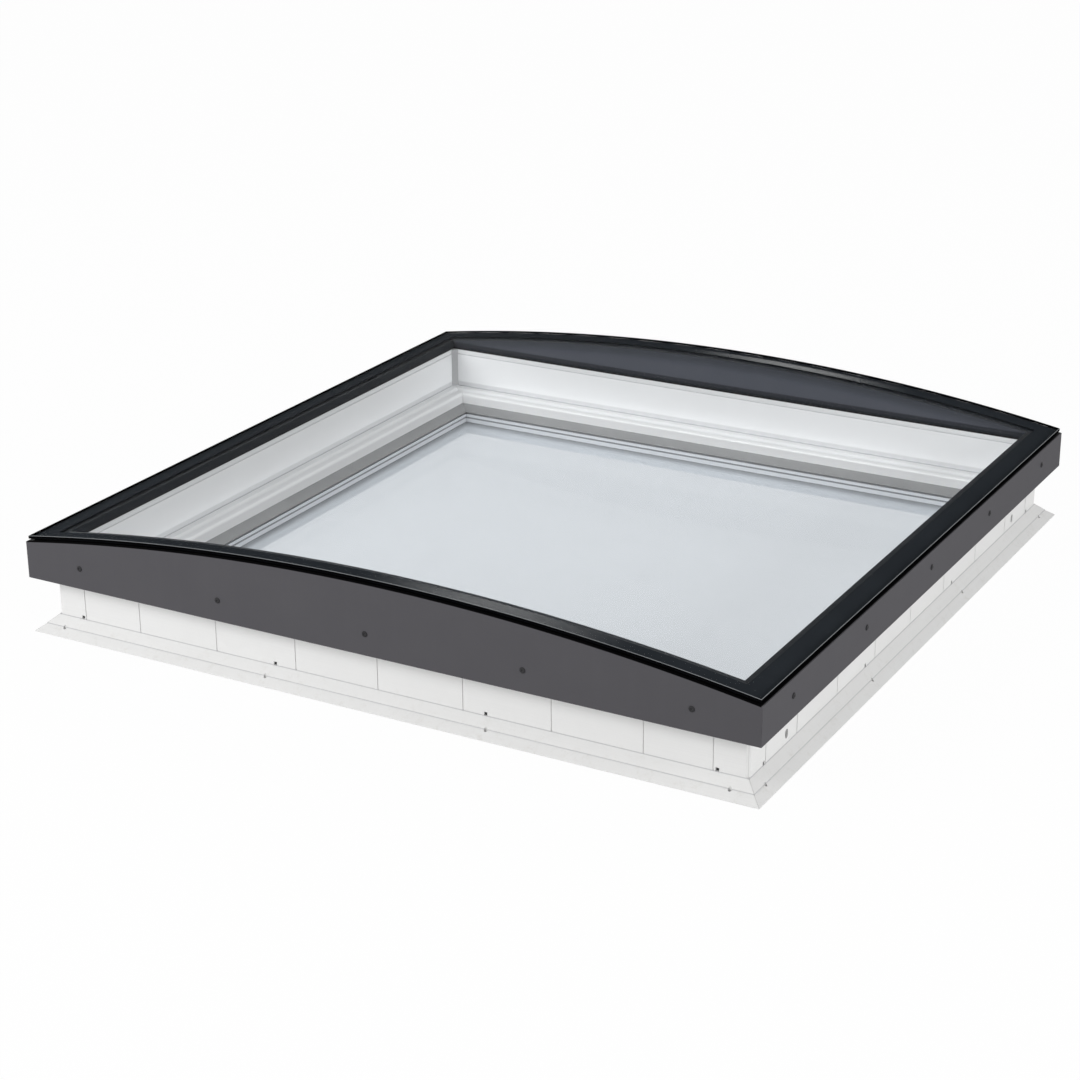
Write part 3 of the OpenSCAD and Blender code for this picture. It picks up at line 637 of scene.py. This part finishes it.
# %% Enamel
EDGE_DARK_FROM, EDGE_DARK_TO = 565.0 * MM, 560.5 * MM  # the light band ends here, short of the glass edge
BLOOM_AT, BLOOM_REACH, BLOOM_SLANT = 155 * MM, 215 * MM, 0.06  # the light band's middle, reach and slant
BLOOM_GLOSS = 0.95
MITRE_HALF = 4 * MM
RIM_FROM, RIM_TO = 566.2 * MM, 567.0 * MM  # beyond this the enamel's own edge is seen, painted black as shade
made, tree, shader = new_finish("fired black enamel", Specular_IOR_Level=0.0, Coat_IOR=1.5, Coat_Roughness=0.12)
spot = object_place(tree)
holes, lazy = noise(tree, spot, 1500.0, 1.0), noise(tree, spot, 7.0, 3.0)
split = node(tree, "SeparateXYZ", {"Vector": spot}).outputs
off_x, off_y = maths(tree, "ABSOLUTE", split["X"]), maths(tree, "ABSOLUTE", split["Y"])
on_arched_run = ramp(tree, maths(tree, "SUBTRACT", off_y, off_x), -MITRE_HALF, MITRE_HALF)
off_edge = ramp(tree, off_y, EDGE_DARK_FROM, EDGE_DARK_TO)
slanted = maths(tree, "MULTIPLY_ADD", split["Y"], BLOOM_SLANT, split["X"])
bloom = ramp(tree, maths(tree, "ABSOLUTE", maths(tree, "SUBTRACT", slanted, BLOOM_AT)), BLOOM_REACH, 0.0)
where = maths(tree, "MULTIPLY", on_arched_run, off_edge)
coat = maths(tree, "MULTIPLY", where, maths(tree, "MULTIPLY", bloom, BLOOM_GLOSS))
body = mix(tree, ramp(tree, lazy, 0.35, 0.7), (0.022, 0.0255, 0.030, 1), (0.025, 0.029, 0.034, 1))
# painted shade: the enamel's outer edge is painted black
rim_shade = ramp(tree, place(tree, frame_space)["Across"], RIM_FROM, RIM_TO)
feed(tree, shader, Base_Color=mix(tree, rim_shade, body, GAP_SHADE_BLACK), Coat_Weight=coat,
     Roughness=ramp(tree, lazy, 0.3, 0.7, 0.22, 0.34), Normal=bumped(tree, holes, 0.002 * MM, 0.3))
finishes["enamel"] = made
print("enamel:", len(tree.nodes), "nodes")

# %% [markdown]
# ## Glass
# Clear glass is the Principled shader with full transmission. Left like that it would cast a black shadow,
# because lamps are not followed through a refracting surface. So rays that test for lamps meet a Transparent
# shader instead, and so do rays that come off dull faces, or the same lamp would be counted twice. Each pane
# has its own faint tint, a breath of smears that change the gloss, and the long shallow waves that toughening
# leaves. The border looks deep black from this low camera, as if the panes were coated against reflections,
# so their index stays far below the 1.5 of bare glass. The laminated pane is partly milky, which hides that
# there is no room below.

# %% Glass
SMEAR_SHADE = 0.985  # how bright the tint is under a smear
SMEARED = (0.45, 0.8)  # the part of the noise in which smears come up


def glass(name, tint, waves, smears, bending, clear=1.0):
    """Glass that lets lamps through; what is not clear of it is a faint milky haze."""
    made, tree, shader = new_finish(name, Transmission_Weight=clear, IOR=bending)
    spot = object_place(tree)
    rolled = noise(tree, spot, 5.0, 1.0)
    wiped = noise(tree, spot, 11.0, 6.0, Roughness=0.65, Distortion=1.2)
    faint = mix(tree, ramp(tree, wiped, *SMEARED), rgb(tint), rgb(tint, SMEAR_SHADE))
    feed(tree, shader, Base_Color=faint, Roughness=ramp(tree, wiped, *SMEARED, 0.0, smears),
         Normal=bumped(tree, rolled, waves, 1.0))
    through = node(tree, "BsdfTransparent", {"Color": rgb([math.sqrt(c) for c in tint])}).outputs[0]
    path = node(tree, "LightPath").outputs
    dull = node(tree, "MixShader", {0: path["Is Diffuse Ray"], 1: shader.outputs[0], 2: through}).outputs[0]
    both = node(tree, "MixShader", {0: path["Is Shadow Ray"], 1: dull, 2: through}).outputs[0]
    tree.links.new(both, tree.nodes["Material Output"].inputs["Surface"])
    return made


finishes["curved_glass"] = glass("clear arched glass", (0.985, 0.99, 0.992), 0.03 * MM, 0.006, 1.008)
finishes["flat_glass"] = glass("clear flat glass", (0.955, 0.965, 0.975), 0.05 * MM, 0.02, 1.03)
finishes["laminated_glass"] = glass("laminated glass", (0.87, 0.893, 0.915), 0.05 * MM, 0.03, 1.03, 0.68)
ground_edge = grained(
    "ground glass edge", (0.17, 0.18, 0.185), (0.22, 0.23, 0.235), 0.5, 1400.0, 0.5, 0.04 * MM, dusty=0.0, **DULL,
)
# the edge below the slant, painted black as shade of the dark gap under the pane
edge_shade_black = grained(
    "glass edge in painted shade", (0.0015, 0.0015, 0.0018), (0.004, 0.004, 0.0045), 0.4, 900.0, 0.6, 0.04 * MM,
    dusty=0.0, Specular_IOR_Level=0.0,
)
print("finishes:", len(finishes), "for", len(set(slot_of.values())), "slots")

# %% [markdown]
# ## Dressing the CAD parts
# A drawing names a finish for each part, and so does the record, as its material slot. The parts could be
# dressed one by one, but with so many of them it is safer to look each finish up. Only the material changes;
# the meshes stay as the CAD made them.

# %% Put the finishes on the CAD parts
for name, part in frame["nodes"].items():
    part.data.materials.clear()
    part.data.materials.append(finishes[slot_of[name]])
print("dressed", len(frame["nodes"]), "parts")

# %% [markdown]
# ## Panes with ground edges
# Cut glass is ground along every edge, and that small slanted face catches the light as a pale line round the
# cover. A bevel modifier could make it, but the pane is thin and gently bent, so it is as easy to write: the
# outline is laid down four times, at the two faces and at both sides of the edge, and the rings are joined.
# The upper slant is left pale and matt from grinding, and the edge below it is black, as painted shade of the
# dark gap under the pane. The same function makes the flat panes, with no rise. Where a smooth face meets a flat
# one their corners are kept apart, or the smooth face would be shaded as if it leaned towards its neighbour, and
# the glass would bend light like a lens.

# %% Mesh to object
def finish_mesh(mesh, name):
    """Turns a bmesh into a new object in the scene, its smooth and flat faces kept apart."""
    bmesh.ops.recalc_face_normals(mesh, faces=mesh.faces)
    creases = [edge for edge in mesh.edges if len({face.smooth for face in edge.link_faces}) > 1]
    bmesh.ops.split_edges(mesh, edges=creases)
    data = bpy.data.meshes.new(name)
    mesh.to_mesh(data)
    mesh.free()
    made = bpy.data.objects.new(name, data)
    bpy.context.scene.collection.objects.link(made)
    return made


print("mesh helper ready")

# %% Pane builder
GROUND, SHADED_EDGE = 1, 2  # material places of the upper slant, and of the edge below it, black as painted shade


def pane(name, half_x, half_y, crown, rise, thick, arris, steps):
    """A rectangular pane bent along X, with ground edges."""
    radius = (half_x ** 2 + rise ** 2) / (2 * rise) if rise else None
    mesh = bmesh.new()

    def height(x, drop):
        return crown - radius + math.sqrt((radius - drop) ** 2 - x * x) if rise else crown - drop

    rings = []
    for inset, drop in ((arris, 0.0), (0.0, arris), (0.0, thick - arris), (arris, thick)):
        reach_x, reach_y = half_x - inset, half_y - inset
        xs = [reach_x * (2 * i / steps - 1) for i in range(steps + 1)]
        rings.append([[mesh.verts.new((x, side * reach_y, height(x, drop))) for x in xs] for side in (-1, 1)])
    for (front, back), flip in ((rings[0], False), (rings[-1], True)):
        for i in range(steps):
            corners = [front[i], front[i + 1], back[i + 1], back[i]]
            mesh.faces.new(corners[::-1] if flip else corners).smooth = True
    for upper, lower, finish in zip(rings, rings[1:], (GROUND, SHADED_EDGE, SHADED_EDGE)):
        sides = []
        for i in range(steps):
            sides.append([upper[0][i + 1], upper[0][i], lower[0][i], lower[0][i + 1]])
            sides.append([upper[1][i], upper[1][i + 1], lower[1][i + 1], lower[1][i]])
        for i, first, second in ((0, 0, 1), (-1, 1, 0)):
            sides.append([upper[first][i], upper[second][i], lower[second][i], lower[first][i]])
        for corners in sides:
            mesh.faces.new(corners).material_index = finish
    return finish_mesh(mesh, name)


print("pane builder ready")

# %% Build the panes
GLASS_THICK = 4 * MM
ARRIS = 0.6 * MM  # width and height of the ground slant
FILM = 0.05 * MM  # keeps a pane's faces off the seals that touch it
ARCH_STEPS = 160


def stand_for(piece, node_name, *more):
    """The piece takes over a CAD node: its place, its body and its finish, with more finishes after it."""
    for finish in (finishes[slot_of[node_name]], *more):
        piece.data.materials.append(finish)
    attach(piece, "root")
    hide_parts(node_name)
    return piece


arched = pane("arched_pane", glass_high.x, glass_high.y, glass_high.z, RISE, GLASS_THICK, ARRIS, ARCH_STEPS)
stand_for(arched, "glass_cover", ground_edge, edge_shade_black)
for node_name, piece_name in (("unit_outer_pane", "flat_outer_pane"), ("unit_inner_pane", "flat_inner_pane")):
    low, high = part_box(node_name)
    flat = pane(piece_name, high.x, high.y, high.z - FILM, 0.0, high.z - low.z - 2 * FILM, ARRIS, 1)
    stand_for(flat, node_name, ground_edge, edge_shade_black)
    print(piece_name, "is", round((high.z - low.z) / MM, 1), "mm thick")

# %% [markdown]
# ## Screws with a drive
# The apron is held by small flat-headed screws. From a step away they are dark dots; close up one sees the
# domed rim and the six-lobed drive. A head is a stack of rings: the rings grow, turn over the rim, and then
# follow a six-lobed outline down into the recess. Every screw is made from the same rings, turned to its
# side.

# %% Screw builder
# the drive's lobes, then as parts of the head's radius their depth, the drive's radius and the shank's
LOBES, LOBE_DEPTH, DRIVE_SIZE, SHANK_SIZE = 6, 0.09, 0.38, 0.476
ROUND_SIDES = 48


def screw_rings(head_r, head_t, shank_r, shank_l):
    """Rings of (radius, lobe depth, height), from the recess's floor over the head to the tip."""
    lobe, drive = head_r * LOBE_DEPTH, head_r * DRIVE_SIZE
    return [
        (drive * 0.72, lobe * 0.7, head_t * 0.35), (drive * 0.9, lobe, head_t * 0.45),
        (drive, lobe, head_t * 0.96), (drive * 1.08, lobe * 0.8, head_t),
        (head_r * 0.74, 0.0, head_t), (head_r * 0.90, 0.0, head_t * 0.86),
        (head_r * 0.985, 0.0, head_t * 0.58), (head_r, 0.0, head_t * 0.25), (head_r, 0.0, 0.0),
        (shank_r, 0.0, 0.0), (shank_r, 0.0, -shank_l * 0.75), (shank_r * 0.55, 0.0, -shank_l),
    ]


def add_screw(mesh, centre, outward, rings, sides=ROUND_SIDES):
    """Lofts one screw at a place, its head pointing outward."""
    turn = outward.to_track_quat("Z", "Y").to_matrix()
    loops = []
    for radius, lobe, height in rings:
        loop = []
        for i in range(sides):
            angle = 2 * math.pi * i / sides
            reach = radius + lobe * math.cos(LOBES * angle)
            point = Vector((reach * math.cos(angle), reach * math.sin(angle), height))
            loop.append(mesh.verts.new(centre + turn @ point))
        loops.append(loop)
    for above, below in zip(loops, loops[1:]):
        for i in range(sides):
            j = (i + 1) % sides
            mesh.faces.new([above[i], above[j], below[j], below[i]]).smooth = True
    mesh.faces.new(loops[0][::-1])
    mesh.faces.new(loops[-1])


print("a screw has", len(screw_rings(1.0, 1.0, SHANK_SIZE, 1.0)), "rings of", ROUND_SIDES, "corners")

# %% Build the screws
SAME_POINT, SAME_SPAN = 1e-6, 1e-5
HEAD_T = 1.4 * MM


def islands(part):
    """The separate solids of a CAD part, each as its (lowest, highest) corner."""
    mesh = bmesh.new()
    mesh.from_mesh(part.data)
    bmesh.ops.remove_doubles(mesh, verts=mesh.verts, dist=SAME_POINT)
    left, found = set(mesh.verts), []
    while left:
        stack, group = [left.pop()], []
        while stack:
            vertex = stack.pop()
            group.append(vertex.co.copy())
            for edge in vertex.link_edges:
                other = edge.other_vert(vertex)
                if other in left:
                    left.remove(other)
                    stack.append(other)
        found.append([Vector([pick(co[i] for co in group) for i in range(3)]) for pick in (min, max)])
    mesh.free()
    return sorted(found, key=lambda box: tuple(round(v, 4) for v in box[0]))


def screw_set(name, node_name, head_t):
    """A detailed screw for each plain one of a CAD node."""
    mesh = bmesh.new()
    for low, high in islands(frame["nodes"][node_name]):
        middle, span = (low + high) / 2, high - low
        axis = 0 if span.z > span.x + SAME_SPAN or abs(middle.x) > abs(middle.y) else 1
        outward = Vector((0, 0, 0))
        outward[axis] = math.copysign(1.0, middle[axis])
        seat = middle.copy()
        seat[axis] = (high[axis] if outward[axis] > 0 else low[axis]) - outward[axis] * head_t
        head_r = span.z / 2
        add_screw(mesh, seat, outward, screw_rings(head_r, head_t, head_r * SHANK_SIZE, span[axis] - head_t))
    return stand_for(finish_mesh(mesh, name), node_name)


for piece_name, node_name in (("apron_screw_set", "apron_screws"), ("clip_screw_set", "clip_screws")):
    made = screw_set(piece_name, node_name, HEAD_T)
    print(piece_name, "has", len(made.data.polygons), "faces")

# %% [markdown]
# ## Floor and background
# The picture has a pure white ground. Making the floor itself glow white would lose the soft shadow that
# seats the object, and more lamps would bleach the frame. So the floor is plain pale paint that takes the
# shadow, and only what the camera sees, straight on or through or in glass, is lifted to white.

# %% Floor
def lifted(tree):
    """1 for rays that come from the camera, by a reflection or through glass."""
    path = node(tree, "LightPath").outputs
    seen = maths(tree, "MAXIMUM", path["Is Camera Ray"], path["Is Glossy Ray"])
    return maths(tree, "MAXIMUM", seen, path["Is Transmission Ray"])


FLOOR_LIFT = 0.975  # the rest of the floor's own shading carries the shadow
FLOOR_RADIUS, FLOOR_GAP = 30.0, 0.2 * MM
PALE = (0.80, 0.80, 0.80, 1)
made, tree, shader = new_finish("pale floor", Base_Color=PALE, Roughness=0.9, Specular_IOR_Level=0.1)
white = node(tree, "Emission", {"Color": (1, 1, 1, 1), "Strength": 1.0}).outputs[0]
share = maths(tree, "MULTIPLY", lifted(tree), FLOOR_LIFT)
both = node(tree, "MixShader", {0: share, 1: shader.outputs[0], 2: white}).outputs[0]
tree.links.new(both, tree.nodes["Material Output"].inputs["Surface"])
mesh = bmesh.new()
bmesh.ops.create_circle(mesh, cap_ends=True, radius=FLOOR_RADIUS, segments=64)
floor = finish_mesh(mesh, "studio floor")
floor.data.materials.append(made)
floor.location.z = -FLOOR_GAP
print("floor lies", FLOOR_GAP / MM, "mm below the foot")

# %% [markdown]
# ## The surroundings
# A studio with white walls lights dull surfaces from all sides. A picture of such a room could be hung around
# the scene, but an even white does as well and has no seams. It gives less than half its strength as light,
# so that the lamps still shape the forms, while the camera, mirrors and glass see it white.

# %% World
WORLD_LIGHT = 0.42  # what the surroundings give to dull surfaces
world = bpy.data.worlds.new("studio")
world.use_nodes = True
bpy.context.scene.world = world
tree = world.node_tree
strength = maths(tree, "MAXIMUM", lifted(tree), WORLD_LIGHT)
background = tree.nodes["Background"]
background.inputs["Color"].default_value = (1, 1, 1, 1)
tree.links.new(strength, background.inputs["Strength"])
print("world light", WORLD_LIGHT)

# %% [markdown]
# ## Soft light
# Two big soft boxes do the rest: one high in front on the left, which makes the front the brightest side, and
# a weaker, lower one on the right. Both are larger than the skylight, so no shadow has a hard edge. The right
# one is kept out of reflections, or the panes would show it as a hard white square to someone who looks from
# the left.

# %% Lamps
AIM = (0, 0, 0.1)  # the middle of the skylight


def soft_box(name, place, size, watts, mirrored):
    """A square area lamp aimed at the skylight."""
    data = bpy.data.lights.new(name, "AREA")
    data.shape = "SQUARE"
    data.size = size
    data.energy = watts
    lamp = bpy.data.objects.new(name, data)
    lamp.location = place
    lamp.rotation_euler = (Vector(AIM) - Vector(place)).to_track_quat("-Z", "Y").to_euler()
    lamp.visible_glossy = mirrored
    bpy.context.scene.collection.objects.link(lamp)


SOFT_BOXES = (
    # name, place, side length, watts, whether gloss and glass may show it
    ("front left box", (-1.8, -3.8, 2.2), 2.4, 136.0, True),
    ("right box", (3.8, -0.5, 1.1), 1.6, 68.0, False),
)
for box in SOFT_BOXES:
    soft_box(*box)
